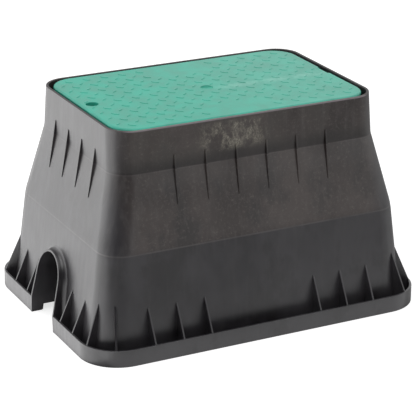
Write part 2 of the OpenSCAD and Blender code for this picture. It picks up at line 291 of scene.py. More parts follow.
def hand_over(ob, node, body):
    """Smooths a finished piece and puts it in its node's place."""
    smooth(ob)
    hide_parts(node)
    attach(ob, body)
    print(ob.name, "for", node, len(ob.data.polygons), "faces")


# %% [markdown]
# ## The body's shell
# The real body is one injection moulding. Its section runs up the outside, over the rim, down the
# inside past the ledge that carries the lid, and back under the channel at its foot. The crease under
# the collar and the knee halfway down are soft bends, drawn here as short parabolas, and the free
# edges get a small radius, because a mould never leaves them sharp. Below the knee the ends lean out
# further than the long sides, which leaves a narrower channel there.

# %% Sweep the shell
def soft_bend(a, b, c, reach, steps=5):
    """Points that round the corner at b between the lines from a and to c."""
    a, b, c = Vector(a), Vector(b), Vector(c)
    start = b + (a - b).normalized() * reach
    end = b + (c - b).normalized() * reach
    return [tuple((1 - t) ** 2 * start + 2 * t * (1 - t) * b + t * t * end)
            for t in (i / steps for i in range(steps + 1))]


def round_edge(a, b, c):
    """The corner at b, rounded by the moulding's small edge radius."""
    return soft_bend(a, b, c, EDGE, 3)


def wall_out(z, foot):
    """How far the wall stands out from the rim at a height, on sides whose foot stands out so far."""
    if z > CREASE_Z:
        return CREASE_OUT * (BOX_H - z) / (BOX_H - CREASE_Z)
    if z > KNEE_Z:
        return CREASE_OUT + (KNEE_OUT - CREASE_OUT) * (CREASE_Z - z) / (CREASE_Z - KNEE_Z)
    return KNEE_OUT + (foot - KNEE_OUT) * (KNEE_Z - z) / (KNEE_Z - FLOOR_T)


def wall_r(z):
    """Radius of the wall's corners at a height. The crease is the tightest."""
    if z > CREASE_Z:
        return RIM_R + (CREASE_R - RIM_R) * (BOX_H - z) / (BOX_H - CREASE_Z)
    return CREASE_R + (FOOT_R - CREASE_R) * (CREASE_Z - z) / CREASE_Z


def even(out, z, radius):
    return (out, out, z, radius)


def wall_row(out, z, inset=0.0):
    """A row on the wall's outside, or inset from it. The ends lean out more below the knee."""
    more = (END_FOOT - SIDE_FOOT) * max(0.0, KNEE_Z - z) / (KNEE_Z - FLOOR_T)
    return (out + more - inset, out - inset, z, wall_r(z) - inset)


rim, crease, knee, foot = (0, BOX_H), (CREASE_OUT, CREASE_Z), (KNEE_OUT, KNEE_Z), (SIDE_FOOT, FLOOR_T)
line = [foot] + soft_bend(foot, knee, crease, 7 * MM, 6) + soft_bend(knee, crease, rim, 3 * MM)
lip_in = LIP_OUT - LIP_T
lip_line = (round_edge((SIDE_FOOT, 0), (LIP_OUT, 0), (LIP_OUT, LIP_H))
            + round_edge((LIP_OUT, 0), (LIP_OUT, LIP_H), (lip_in, LIP_H))
            + round_edge((LIP_OUT, LIP_H), (lip_in, LIP_H), (lip_in, FLOOR_T)) + [(lip_in, FLOOR_T)])
rim_line = (round_edge((0, CREASE_Z), (0, BOX_H), (-RIM_T, BOX_H))
            + round_edge((0, BOX_H), (-RIM_T, BOX_H), (-RIM_T, LEDGE_Z)))
ledge_in = -RIM_T - LEDGE_W
ledge_foot = LEDGE_Z - LEDGE_T
rows = [even(out, z, LIP_R - (LIP_OUT - out)) for out, z in lip_line]
rows += [wall_row(out, z) for out, z in line]
rows += [even(out, z, RIM_R + out) for out, z in rim_line]
rows += [even(-RIM_T, LEDGE_Z, RIM_R - RIM_T), even(ledge_in, LEDGE_Z, RIM_R + ledge_in),
         even(ledge_in, ledge_foot, RIM_R + ledge_in), wall_row(wall_out(ledge_foot, 0), ledge_foot, WALL_T)]
rows += [wall_row(out, z, WALL_T) for out, z in reversed(line) if FLOOR_T < z < ledge_foot]
rows += [wall_row(SIDE_FOOT, 0, WALL_T)]
body = sweep("moulded_body", rows, closed=True)
print("shell", len(body.data.polygons), "faces")

# %% [markdown]
# ## Gussets over the crease and over the channel
# Thin plates stiffen the wall where it bends and where the channel leaves it. Each is a cube that is
# moved corner by corner into its outline, with the outer edges beveled. A crease gusset's chord runs
# straight from tip to tip while the wall behind it bends away. A base gusset is a low block whose top
# is extruded up to a point on the wall. Those in the corners stand a little higher.

# %% Model the gussets and copy them
GUSSET_T, SINK = 2.6 * MM, 2 * MM
CORNER_TURN = math.radians(22)


def crease_gusset(half):
    """A plate over the crease of the wall that stands half from the middle, in the plane of X and Z."""
    top, low, lift, deep = CREASE_Z + 19 * MM, CREASE_Z - 46 * MM, 0.8 * MM, 3.5 * MM
    x_top, x_low = half + wall_out(top, 0), half + wall_out(low, 0)
    ob = block("crease_gusset", (x_top - deep, -GUSSET_T / 2, low), (x_top + lift, GUSSET_T / 2, top))
    move_verts(ob, lambda p: p.z < (top + low) / 2, (x_low - x_top, 0, 0))
    outer = lambda p: p.x > half + wall_out(p.z, 0) - MM
    bevel_edges(ob, lambda a, b: outer(a) and outer(b) and abs(a.z - b.z) > MM, 0.5 * MM)
    finish_solid()
    return ob


def base_gusset(tip_at, tip_z, foot_at, lip_at):
    """A plate down to the lip: where the wall stands at its tip and at its foot, and where the lip stands."""
    reach, foot_in = lip_at - LIP_T / 2, foot_at - SINK
    ob = block("base_gusset", (foot_in, -GUSSET_T / 2, FLOOR_T / 2), (reach, GUSSET_T / 2, LIP_H - 0.3 * MM))
    select_verts(ob, lambda p: p.z > LIP_H / 2)
    bpy.ops.mesh.extrude_region_move(TRANSFORM_OT_translate={"value": (0, 0, tip_z - LIP_H)})
    middle, high = (foot_in + reach) / 2, (tip_z + LIP_H) / 2
    move_verts(ob, lambda p: p.z > high and p.x > middle, (tip_at + 0.4 * MM - reach, 0, 0))
    move_verts(ob, lambda p: p.z > high and abs(p.x - foot_in) < 0.1 * MM, (tip_at - SINK - foot_in, 0, 0))
    outer = lambda p: p.z > high and p.x > tip_at or abs(p.x - reach) < 0.1 * MM and p.z > LIP_H / 2
    bevel_edges(ob, lambda a, b: outer(a) and outer(b) and abs(a.z - b.z) > MM, 0.5 * MM)
    finish_solid()
    return ob


def wall_gusset(half, foot, tip_z=67 * MM):
    return base_gusset(half + wall_out(tip_z, foot), tip_z, half + foot, half + LIP_OUT)


def corner_reach(row, turn):
    """Reach of a row's corner, seen in a direction from the centre of the wall's corner at its foot."""
    end, side, z, radius = row
    return (radius + (end - radius - END_FOOT + FOOT_R) * math.cos(turn)
            + (side - radius - SIDE_FOOT + FOOT_R) * math.sin(turn))


def line_of(count, pitch):
    return [(i - (count - 1) / 2) * pitch for i in range(count)]


SIDES, ENDS = [math.pi / 2, -math.pi / 2], [0, math.pi]


def along(turns, offsets):
    """Places along walls that face the given turns, for a plate modelled on the +X side."""
    return [(-math.sin(turn) * y, math.cos(turn) * y, turn) for turn in turns for y in offsets]


side_feet = [s * (82.5 + i * 41.2) * MM for s in (-1, 1) for i in range(3)]
end_feet = [s * (59 + i * 41.2) * MM for s in (-1, 1) for i in range(2)]
plates = [
    turned_copies(crease_gusset(RIM_W / 2), along(SIDES, line_of(6, 45 * MM))),
    turned_copies(crease_gusset(RIM_L / 2), along(ENDS, line_of(4, 44 * MM))),
    turned_copies(wall_gusset(RIM_W / 2, SIDE_FOOT), along(SIDES, side_feet)),
    turned_copies(wall_gusset(RIM_L / 2, END_FOOT), along(ENDS, end_feet)),
]
corner_x, corner_y = RIM_L / 2 + END_FOOT - FOOT_R, RIM_W / 2 + SIDE_FOOT - FOOT_R
for turn in (CORNER_TURN, math.pi / 2 - CORNER_TURN):
    tip_z = 75 * MM
    tip_at = corner_reach(wall_row(wall_out(tip_z, SIDE_FOOT), tip_z), turn)
    plate = base_gusset(tip_at, tip_z, FOOT_R, corner_reach(even(LIP_OUT, 0, LIP_R), turn))
    plates.append(turned_copies(plate, [
        (sx * corner_x, sy * corner_y, math.atan2(sy * math.sin(turn), sx * math.cos(turn)))
        for sx, sy in QUARTERS]))
for group in plates:
    boolean(body, group, "UNION")
print("with gussets", len(body.data.polygons), "faces")

# %% [markdown]
# ## The hooded pipe slots
# A pipe enters each end through an arched slot. A hood frames it: an arch that stands out from the
# wall to the lip, leans back towards its crown and reaches a little way inside. By hand this is half
# a cylinder whose open edge is extruded down to the ground and cut twice by bisect. The slot itself
# is the same arch, one wall thinner. The moulding's soft root, where the hood meets the wall, is a
# strip of concave section that is extruded row by row along the same arch.

# %% Model the hoods and cut the slots
SLOT_FOOT, SLOT_R, SLOT_H, HOOD_T = 38 * MM, 34 * MM, 98.5 * MM, 3 * MM
HOOD_BACK, TUNNEL_IN, TUNNEL_LIFT, ROOT_R = 16 * MM, 18 * MM, 9 * MM, 6 * MM
ARCH_Z = SLOT_H - SLOT_R
FACE_X = RIM_L / 2 + LIP_OUT
INNER_X = RIM_L / 2 + KNEE_OUT - WALL_T - TUNNEL_IN


def arch_line(name, radius, x, foot_z, spread):
    """Half a circle in the plane of Y and Z over two legs, as bare edges in edit mode."""
    deselect()
    bpy.ops.mesh.primitive_circle_add(vertices=64, radius=radius)
    ob = bpy.context.object
    ob.name = name
    ob.rotation_euler = (0, math.pi / 2, 0)
    ob.location = (x, 0, ARCH_Z)
    bpy.ops.object.transform_apply(location=True, rotation=True, scale=True)
    bpy.ops.object.mode_set(mode="EDIT")
    bpy.ops.mesh.select_mode(type="VERT")
    select_verts(ob, lambda p: p.z < ARCH_Z - 0.1 * MM)
    bpy.ops.mesh.delete(type="VERT")
    for side in (-1, 1):
        select_verts(ob, lambda p: p.z < ARCH_Z + 0.1 * MM and p.y * side > 0)
        bpy.ops.mesh.extrude_vertices_move(
            TRANSFORM_OT_translate={"value": (0, side * spread, foot_z - ARCH_Z)})
    return ob


def arch_block(name, grow, x_from, x_to, foot_z):
    """A closed arch along X: half a cylinder over drafted sides."""
    ob = arch_line(name, SLOT_R + grow, x_from, foot_z, SLOT_FOOT - SLOT_R)
    bpy.ops.mesh.select_all(action="SELECT")
    bpy.ops.mesh.edge_face_add()
    bpy.ops.mesh.extrude_region_move(TRANSFORM_OT_translate={"value": (x_to - x_from, 0, 0)})
    finish_solid()
    return ob


def cut_flat(ob, point, normal):
    """Cuts away what lies on the normal's side of a plane, and closes the cut."""
    work_on(ob, "EDIT")
    bpy.ops.mesh.select_all(action="SELECT")
    bpy.ops.mesh.bisect(plane_co=point, plane_no=normal, use_fill=True, clear_outer=True)
    finish_solid()


def hood():
    """The hood at the +X end, hollow and with its front edges rounded."""
    lean = Vector((SLOT_H - LIP_H, 0, HOOD_BACK)).normalized()
    ob = arch_block("hood", HOOD_T, INNER_X, FACE_X, 0)
    cut_flat(ob, (FACE_X, 0, LIP_H), lean)
    step_x = RIM_L / 2 + END_FOOT - 2 * MM
    boolean(ob, plain_block("step", (INNER_X - MM, -60 * MM, -MM), (step_x, 60 * MM, TUNNEL_LIFT)), "DIFFERENCE")
    boolean(ob, arch_block("hollow", 0, INNER_X - MM, FACE_X + MM, -MM), "DIFFERENCE")
    work_on(ob, "EDIT")
    front = lambda p: (p - Vector((FACE_X, 0, LIP_H))).dot(lean) > -0.05 * MM and p.z > LIP_H - 0.1 * MM
    bevel_edges(ob, lambda a, b: front(a) and front(b), 0.7 * MM)
    finish_solid()
    return ob


def hood_root():
    """The soft root of the hood: a concave strip along the arch, on the leaning end wall."""
    wall_foot = RIM_L / 2 + END_FOOT
    sunk, foot_z = 1.5 * MM, FLOOR_T / 2
    turns = [math.radians(a) for a in range(0, 91, 15)]
    section = [(ROOT_R, -sunk)] + [(ROOT_R * (1 - math.sin(a)), ROOT_R * (1 - math.cos(a))) for a in turns]
    section += [(-sunk, ROOT_R), (-sunk, -sunk)]
    radius = SLOT_R + HOOD_T
    ob = arch_line("hood_root", radius + section[0][0], wall_foot + section[0][1], foot_z, SLOT_FOOT - SLOT_R)
    bpy.ops.mesh.select_all(action="SELECT")
    for (grow, out), (next_grow, next_out) in zip(section, section[1:]):
        bpy.ops.mesh.extrude_edges_move(TRANSFORM_OT_translate={"value": (next_out - out, 0, 0)})
        bm = bmesh.from_edit_mesh(ob.data)
        row = [v.index for v in bm.verts if v.select]
        step = next_grow - grow
        for part in ("arch", "left", "right"):
            bm = bmesh.from_edit_mesh(ob.data)
            bm.verts.ensure_lookup_table()
            for v in bm.verts:
                v.select = False
            for i in row:
                p = bm.verts[i].co
                high = p.z > ARCH_Z - 0.1 * MM
                bm.verts[i].select = high if part == "arch" else not high and (p.y > 0) == (part == "left")
            bm.select_flush_mode()
            bmesh.update_edit_mesh(ob.data)
            if part == "arch":
                grown = (radius + next_grow) / (radius + grow)
                bpy.ops.transform.resize(value=(1, grown, grown), center_override=(0, 0, ARCH_Z))
            else:
                bpy.ops.transform.translate(value=(0, step if part == "left" else -step, 0))
        bm = bmesh.from_edit_mesh(ob.data)
        bm.verts.ensure_lookup_table()
        for i in row:
            bm.verts[i].select = True
        bm.select_flush_mode()
        bmesh.update_edit_mesh(ob.data)
    bpy.ops.mesh.select_mode(type="EDGE")
    ends = lambda e: all(abs(v.co.z - foot_z) < 0.01 * MM for v in e.verts)
    select_edges(ob, lambda e: e.is_boundary and not ends(e))
    bpy.ops.mesh.bridge_edge_loops()
    for side in (-1, 1):
        select_edges(ob, lambda e: e.is_boundary and ends(e) and e.verts[0].co.y * side > 0)
        bpy.ops.mesh.edge_face_add()
    bpy.ops.mesh.select_mode(type="VERT")
    bpy.ops.mesh.select_all(action="SELECT")
    lean = math.atan2(END_FOOT - KNEE_OUT, KNEE_Z - FLOOR_T)
    bpy.ops.transform.rotate(value=lean, orient_axis="Y", center_override=(wall_foot, 0, FLOOR_T))
    finish_solid()
    return ob


for turn in (0, math.pi):
    boolean(body, turned_copies(hood_root(), [(0, 0, turn)]), "UNION")
    gap = arch_block("gap", HOOD_T / 2, INNER_X - MM, FACE_X + MM, -MM)
    boolean(body, turned_copies(gap, [(0, 0, turn)]), "DIFFERENCE")
    boolean(body, turned_copies(hood(), [(0, 0, turn)]), "UNION")
print("with hoods", len(body.data.polygons), "faces")

# %% [markdown]
# ## The boss for the lock
# Under the ledge at one end, a round boss grows out of the wall and holds a brass insert. The bolt
# reaches down through it, so the boss is bored wider than the bolt's shank.

# %% Model the boss and its pocket
LOCK_X = (bolt_low.x + bolt_high.x) / 2
INSERT_R = (insert_high.x - insert_low.x) / 2
BOSS_R, BOLT_R = INSERT_R + 4 * MM, 4 * MM


def hexagon(name, radius, low, high):
    """An upright hexagon on the lock's axis, with a corner towards +X."""
    deselect()
    bpy.ops.mesh.primitive_cylinder_add(vertices=6, radius=radius, depth=high - low,
                                        location=(LOCK_X, 0, (low + high) / 2), rotation=(0, 0, math.pi / 6))
    ob = bpy.context.object
    ob.name = name
    bpy.ops.object.transform_apply(location=True, rotation=True, scale=True)
    return ob


boss_low = insert_low.z - LEDGE_T
boolean(body, tube("boss", BOSS_R, boss_low, LEDGE_Z - 0.2 * MM, LOCK_X), "UNION")
wing = plain_block("wing", (-RIM_L / 2 - MM, -BOSS_R, boss_low), (LOCK_X, BOSS_R, LEDGE_Z - 0.2 * MM))
boolean(body, wing, "UNION")
boolean(body, hexagon("pocket", INSERT_R + 0.1 * MM, insert_low.z, LEDGE_Z + MM), "DIFFERENCE")
boolean(body, tube("passage", BOLT_R + MM, 0, LEDGE_Z, LOCK_X, 0, 48), "DIFFERENCE")
hand_over(body, "box_body", "box")

# %% [markdown]
# ## The lid's plate, skirt and ribs
# The lid is a shallow tray turned over: a plate with a softly rounded edge and a drafted skirt that
# stands on the ledge. Ribs run both ways under it, a well takes the lock bolt at one end, and a
# slanted pocket at the other end lets a screwdriver lift it. In the mould, all of it is one part.

# %% Model the lid
LID_IN = lid_high.x - RIM_L / 2
LID_L, LID_W, LID_R = 2 * lid_high.x, 2 * lid_high.y, 36 * MM
LID_FOOT, PLATE_T, SKIRT_T, DRAFT, LID_ROUND = lid_low.z, 4 * MM, 3.5 * MM, 0.8 * MM, 3.4 * MM
END_SLACK = 2.5 * MM
WELL_R, WELL_D, WELL_T, HOLE_R, RING_ROOM_R = 8.5 * MM, 19 * MM, 3 * MM, 4.5 * MM, 10.5 * MM
NOTCH_W, NOTCH_D, NOTCH_SLANT = 39 * MM, 7.5 * MM, 6 * MM
DIMPLE_W, DIMPLE_D = 17 * MM, 2.2 * MM


def lid_row(inset, z):
    """A row of the lid. It is a little short at its ends, which leaves a dark gap inside the rim there."""
    return (LID_IN - inset - END_SLACK, LID_IN - inset, z, LID_R - inset)


def notch_block(name, grow, low, high, x_to):
    """A block with slanted flanks, from the back of the lifting notch out through the lid's edge."""
    back_x, half = lid_high.x - NOTCH_D - grow, NOTCH_W / 2 - NOTCH_SLANT + grow
    wide = half + NOTCH_SLANT * (x_to - back_x) / NOTCH_D
    ob = block(name, (back_x, -wide, low), (x_to, wide, high))
    for side in (-1, 1):
        move_verts(ob, lambda p: p.x < back_x + MM and p.y * side > 0, (0, side * (half - wide), 0))
    finish_solid()
    return ob


curve = [math.radians(a) for a in range(0, 91, 15)]
lid = sweep("tread_lid", [lid_row(DRAFT, LID_FOOT), lid_row(DRAFT - 0.4 * MM, LID_FOOT)]
            + [lid_row(LID_ROUND * (1 - math.cos(a)), BOX_H - LID_ROUND * (1 - math.sin(a))) for a in curve],
            closed=False)
hollow = sweep("hollow", [lid_row(SKIRT_T + DRAFT, LID_FOOT - MM), lid_row(SKIRT_T, BOX_H - PLATE_T)],
               closed=False)
boolean(lid, hollow, "DIFFERENCE")

rib_t, rib_low, rib_high = 2.5 * MM, BOX_H - 26 * MM, BOX_H - 3 * MM
reach_x, reach_y = (LID_L - SKIRT_T) / 2 - DRAFT - END_SLACK, (LID_W - SKIRT_T) / 2 - DRAFT
across = plain_block("rib_across", (-rib_t / 2, -reach_y, rib_low), (rib_t / 2, reach_y, rib_high))
boolean(lid, turned_copies(across, [((i / 6 - 0.5) * LID_L, 0, 0) for i in range(1, 6)]), "UNION")
lengthwise = plain_block("rib_along", (-reach_x, -rib_t / 2, rib_low), (reach_x, rib_t / 2, rib_high))
boolean(lid, turned_copies(lengthwise, [(0, (i / 4 - 0.5) * LID_W, 0) for i in range(1, 4)]), "UNION")
boolean(lid, tube("well_wall", WELL_R + WELL_T, BOX_H - WELL_D - WELL_T, BOX_H - MM, LOCK_X), "UNION")
boolean(lid, notch_block("pocket", SKIRT_T, LID_FOOT, BOX_H - MM, lid_high.x - END_SLACK - 2 * MM), "UNION")
print("lid's plate", len(lid.data.polygons), "faces")

# %% [markdown]
# ## The tread
# Low bars lie at forty-five degrees, and every second one leans the other way, so that a boot grips
# in any direction. Each bar is what two round discs have in common, which makes its pointed outline.
# Its top is extruded in small steps, each scaled down, because these bars are soft. They leave a bare
# panel at the middle of each long edge, and keep clear of the edge, the dimple, the well and the notch.

# %% Model the tread
BAR_H, BAR_L, BAR_W = 0.6 * MM, 12 * MM, 4 * MM
TREAD_X, TREAD_Y, MARGIN = 26.7 * MM, 25.9 * MM, 8 * MM
PANEL_L, PANEL_W = 96 * MM, 54 * MM


def bar_fits(x, y):
    """Whether a tread bar stands clear at this place."""
    reach, round_r = BAR_L * math.cos(math.pi / 4) / 2, LID_R - MARGIN
    half_l, half_w = LID_L / 2 - MARGIN, LID_W / 2 - MARGIN
    in_x, in_y = abs(x) - half_l + round_r, abs(y) - half_w + round_r
    in_corner = in_x < 0 or in_y < 0 or math.hypot(in_x, in_y) + BAR_W / 2 < round_r
    in_panel = abs(x) < PANEL_L / 2 and abs(y) > LID_W / 2 - PANEL_W
    at_notch = x + reach > LID_L / 2 - NOTCH_D - MM and abs(y) < NOTCH_W / 2
    return (abs(x) + reach < half_l and abs(y) + reach < half_w and in_corner and not in_panel
            and math.hypot(x, y) > DIMPLE_W / 2 + reach
            and math.hypot(x - LOCK_X, y) > WELL_R + BAR_W and not at_notch)


def tread_bar():
    """A low bar with a soft top, along X."""
    disc_r = (BAR_L ** 2 / 4 + BAR_W ** 2 / 4) / BAR_W
    low, high = BOX_H - MM, BOX_H + 0.3 * BAR_H
    ob = tube("tread_bar", disc_r, low, high, 0, disc_r - BAR_W / 2, 56)
    boolean(ob, tube("disc", disc_r, low, high, 0, BAR_W / 2 - disc_r, 56), "INTERSECT")
    work_on(ob, "EDIT")
    select_verts(ob, lambda p: p.z > high - 0.1 * MM)
    for rise, length, width in ((0.3, 0.965, 0.88), (0.25, 0.95, 0.78), (0.15, 0.9, 0.6)):
        bpy.ops.mesh.extrude_region_move(TRANSFORM_OT_translate={"value": (0, 0, rise * BAR_H)})
        bpy.ops.transform.resize(value=(length, width, 1), center_override=(0, 0, 0))
    finish_solid()
    return ob


spots = []
for odd in (0, 1):
    for i in range(-9, 10):
        for j in range(-6, 7):
            x, y = (i + odd / 2) * TREAD_X, (j + odd / 2) * TREAD_Y
            if bar_fits(x, y):
                spots.append((x, y, math.radians(45 if odd else -45)))
boolean(lid, turned_copies(tread_bar(), spots), "UNION")
print(len(spots), "tread bars")

# %% [markdown]
# ## What is cut into the lid
# The gate dimple in the middle is the mark the plastic's inlet leaves, a shallow round hollow. The
# well goes down to the bolt, with a hole for its shank. Below the well's floor, the ribs give way
# to the retaining ring. The notch cuts the plate and the skirt right through.

# %% Cut the well, the notch and the dimple
boolean(lid, tube("well", WELL_R, BOX_H - WELL_D, BOX_H + 5 * MM, LOCK_X), "DIFFERENCE")
boolean(lid, tube("bolt_hole", HOLE_R, LID_FOOT - MM, BOX_H, LOCK_X, 0, 48), "DIFFERENCE")
boolean(lid, tube("ring_room", RING_ROOM_R, LID_FOOT - MM, BOX_H - WELL_D - WELL_T, LOCK_X), "DIFFERENCE")
boolean(lid, notch_block("notch", 0, LID_FOOT - MM, BOX_H + 5 * MM, lid_high.x + 4 * MM), "DIFFERENCE")
stamp = tube("stamp", DIMPLE_W / 2, BOX_H - DIMPLE_D, BOX_H + 5 * MM)
work_on(stamp, "EDIT")
bottom = lambda p: p.z < BOX_H - DIMPLE_D + 0.1 * MM
bevel_edges(stamp, lambda a, b: bottom(a) and bottom(b), 1.6 * MM, 4)
finish_solid()
boolean(lid, stamp, "DIFFERENCE")
work_on(lid, "EDIT")
for x_at, radius in ((0, DIMPLE_W / 2), (LOCK_X, WELL_R)):
    edge = lambda p: abs(p.z - BOX_H) < 0.05 * MM and abs(math.hypot(p.x - x_at, p.y) - radius) < 0.1 * MM
    bevel_edges(lid, lambda a, b: edge(a) and edge(b), 0.5 * MM, 2)
finish_solid()
hand_over(lid, "lid", "lid")

# %% [markdown]
# ## The lock: bolt, washer, retaining ring and insert
# A turned part is quickest to make by spinning its section round its axis, as a lathe would. The
# bolt's head is a hexagon whose corners are turned off by a cone, and its thread is one ridge that
# climbs round the shank, made by a Screw modifier. The ring is open at one side, so that it can be
# sprung into its groove. The insert is a nut-like block with a chamfered bore.

# %% Model the lock
PITCH, RIDGE_H, CUT = 1.25 * MM, 0.6 * MM, 0.2 * MM


def section(name, r_in, r_out, low, high, cut):
    """A flat rectangle with cut corners beside the axis, in the plane of X and Z, left in edit mode."""
    deselect()
    bpy.ops.mesh.primitive_plane_add(size=1, rotation=(math.pi / 2, 0, 0))
    ob = bpy.context.object
    ob.name = name
    bpy.ops.object.transform_apply(location=True, rotation=True, scale=True)
    bpy.ops.object.mode_set(mode="EDIT")
    bpy.ops.mesh.select_mode(type="VERT")
    bpy.ops.mesh.select_all(action="SELECT")
    bpy.ops.transform.resize(value=(r_out - r_in, 1, high - low))
    bpy.ops.transform.translate(value=((r_in + r_out) / 2, 0, (low + high) / 2))
    if cut:
        bpy.ops.mesh.bevel(offset=cut, segments=2, affect="VERTICES")
    bpy.ops.mesh.select_all(action="SELECT")
    return ob


def spun(name, r_in, r_out, low, high, cut, degrees=360, steps=64):
    """A ring round the lock's axis, spun from its section."""
    ob = section(name, r_in, r_out, low, high, cut)
    whole = degrees == 360
    if whole:
        bpy.ops.mesh.delete(type="ONLY_FACE")
        bpy.ops.mesh.select_all(action="SELECT")
    bpy.ops.mesh.spin(steps=steps, angle=math.radians(degrees), center=(0, 0, 0), axis=(0, 0, 1),
                      use_auto_merge=whole)
    bpy.ops.mesh.select_all(action="SELECT")
    bpy.ops.transform.translate(value=(LOCK_X, 0, 0))
    finish_solid()
    return ob


def thread(name, radius, low, turns):
    """One ridge that climbs round the lock's axis, sunk into its shank."""
    ob = section(name, radius - RIDGE_H - CUT, radius, low, low + PITCH * 0.9, 0)
    bpy.ops.mesh.delete(type="ONLY_FACE")
    for upper in (-1, 1):
        crest = lambda p: p.x > radius - CUT and (p.z - low - PITCH * 0.45) * upper > 0
        move_verts(ob, crest, (0, 0, -upper * PITCH * 0.36))
    bpy.ops.object.mode_set(mode="OBJECT")
    mod = ob.modifiers.new("climb", "SCREW")
    mod.axis = "Z"
    mod.angle = 2 * math.pi
    mod.screw_offset = PITCH
    mod.iterations = turns
    mod.steps = mod.render_steps = 18
    work_on(ob)
    bpy.ops.object.modifier_apply(modifier=mod.name)
    bpy.ops.object.mode_set(mode="EDIT")
    top = low + PITCH * turns
    for test in (lambda z: z < low + PITCH * 0.95, lambda z: z > top - PITCH * 0.05):
        select_edges(ob, lambda e: e.is_boundary and all(test(v.co.z) for v in e.verts))
        bpy.ops.mesh.edge_face_add()
    bpy.ops.mesh.select_all(action="SELECT")
    bpy.ops.transform.translate(value=(LOCK_X, 0, 0))
    finish_solid()
    return ob


head_z = washer_high.z
corner_r = (bolt_high.x - bolt_low.x) / 2
flat_r = corner_r * math.cos(math.pi / 6)
top_r = flat_r - 0.35 * MM
bolt = hexagon("bolt", corner_r, head_z, bolt_high.z)
head_h = bolt_high.z - head_z
deselect()
bpy.ops.mesh.primitive_cone_add(vertices=72, radius1=top_r + head_h / math.tan(math.pi / 6), radius2=top_r,
                                depth=head_h, location=(LOCK_X, 0, head_z + head_h / 2))
cone = bpy.context.object
bpy.ops.object.transform_apply(location=True, rotation=True, scale=True)
boolean(bolt, cone, "INTERSECT")
shank = tube("shank", BOLT_R - RIDGE_H, bolt_low.z, head_z + MM, LOCK_X, 0, 48)
work_on(shank, "EDIT")
tip = lambda p: p.z < bolt_low.z + 0.1 * MM
bevel_edges(shank, lambda a, b: tip(a) and tip(b), 0.6 * MM, 1)
finish_solid()
boolean(bolt, shank, "UNION")
turns = int((ring_low.z - 3 * MM - bolt_low.z) / PITCH) - 1
neck_low = bolt_low.z + MM + (turns + 1) * PITCH + 0.2 * MM
boolean(bolt, tube("neck", BOLT_R, neck_low, head_z + 2 * MM, LOCK_X, 0, 60), "UNION")
boolean(bolt, thread("ridge", BOLT_R, bolt_low.z + MM, turns), "UNION")
hand_over(bolt, "lock_bolt", "bolt")

washer = spun("washer", BOLT_R + 0.5 * MM, washer_high.y, washer_low.z, washer_high.z, CUT)
hand_over(washer, "bolt_washer", "lid")
clip = spun("spring_ring", BOLT_R, ring_high.y, ring_low.z, ring_high.z, 0.15 * MM, 330, 60)
hand_over(clip, "retaining_ring", "bolt")

insert = hexagon("insert", INSERT_R, insert_low.z, insert_high.z)
bore_r = BOLT_R + 0.3 * MM
boolean(insert, tube("bore", bore_r, insert_low.z - MM, insert_high.z + MM, LOCK_X, 0, 48), "DIFFERENCE")
work_on(insert, "EDIT")
at_bore = lambda p: math.hypot(p.x - LOCK_X, p.y) < bore_r + 0.1 * MM
bevel_edges(insert, lambda a, b: at_bore(a) and at_bore(b) and abs(a.z - b.z) < 0.1 * MM, 0.5 * MM, 1)
finish_solid()
hand_over(insert, "threaded_insert", "box")
print("bolt", round(BOLT_R * 2000, 2), "mm, head", round(flat_r * 2000, 2), "mm across its flats")

# %% [markdown]
# ## Finishes made of nodes
# A few short helpers keep each material readable: coordinates fixed to the object, a noise, a mask
# between two values, a mix and a bump. Constant values go straight onto the shader's own sockets.

